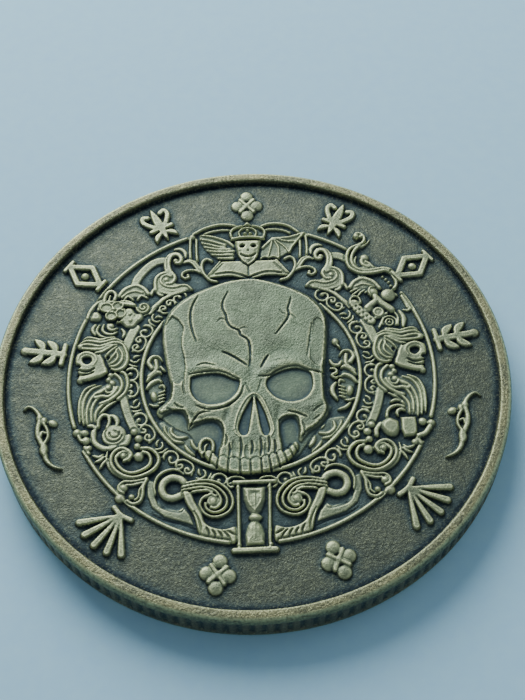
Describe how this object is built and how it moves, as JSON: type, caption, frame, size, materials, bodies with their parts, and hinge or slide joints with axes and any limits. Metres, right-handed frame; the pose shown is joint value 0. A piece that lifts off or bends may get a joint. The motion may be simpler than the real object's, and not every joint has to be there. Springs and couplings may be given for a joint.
{
  "type": "challenge coin",
  "caption": "Round antique-bronze coin with a reeded edge, raised rims, a domed skull inside two ring lines, and a band of scrolls, masks and plain ornaments.",
  "frame": {"origin": "centre of the plane of the reverse rim, which the coin lies on", "axes": "+Z out of the obverse, +Y to the top of the obverse design, +X to its right"},
  "size_m": [0.04, 0.04, 0.003],
  "materials": {
    "field_metal": "antique, fine sandblasted",
    "rim_metal": "antique, rubbed satin",
    "relief_metal": "antique, rubbed satin",
    "skull_metal": "antique, fine stipple"
  },
  "bodies": {
    "root": {"acanthus": "relief_metal", "bat_wing": "relief_metal", "beard_left": "relief_metal", "beard_right": "relief_metal", "big_spiral_left": "relief_metal", "big_spiral_right": "relief_metal", "c_scroll_left": "relief_metal", "c_scroll_right": "relief_metal", "coin_blank": "field_metal", "crowned_skull": "relief_metal", "feathered_wing": "relief_metal", "flourish_left": "relief_metal", "flourish_right": "relief_metal", "flower": "relief_metal", "foot_left": "relief_metal", "foot_right": "relief_metal", "frame_left": "relief_metal", "frame_right": "relief_metal", "hourglass": "relief_metal", "inner_line": "relief_metal", "knot": "relief_metal", "leaf_lower_left": "relief_metal", "leaf_lower_right": "relief_metal", "legend_mark_01": "relief_metal", "legend_mark_02": "relief_metal", "legend_mark_03": "relief_metal", "legend_mark_04": "relief_metal", "legend_mark_05": "relief_metal", "legend_mark_06": "relief_metal", "legend_mark_07": "relief_metal", "legend_mark_08": "relief_metal", "legend_mark_09": "relief_metal", "legend_mark_10": "relief_metal", "legend_mark_11": "relief_metal", "mask_left": "relief_metal", "mask_right": "relief_metal", "obverse_rim": "rim_metal", "open_book": "relief_metal", "outer_line_lower_left": "relief_metal", "outer_line_lower_right": "relief_metal", "outer_line_right": "relief_metal", "outer_line_top": "relief_metal", "outer_line_upper_left": "relief_metal", "reverse_line": "relief_metal", "reverse_rim": "rim_metal", "reverse_rosette": "relief_metal", "ribbon_left": "relief_metal", "ribbon_right": "relief_metal", "rosebud": "relief_metal", "scroll_vine_left": "relief_metal", "scroll_vine_right": "relief_metal", "skull": "skull_metal", "square_block": "relief_metal", "tendril_left": "relief_metal", "tendril_right": "relief_metal", "tooth_row": "skull_metal", "upper_scroll_left": "relief_metal", "upper_scroll_right": "relief_metal", "volute_left": "relief_metal", "volute_right": "relief_metal"}
  },
  "joints": []
}
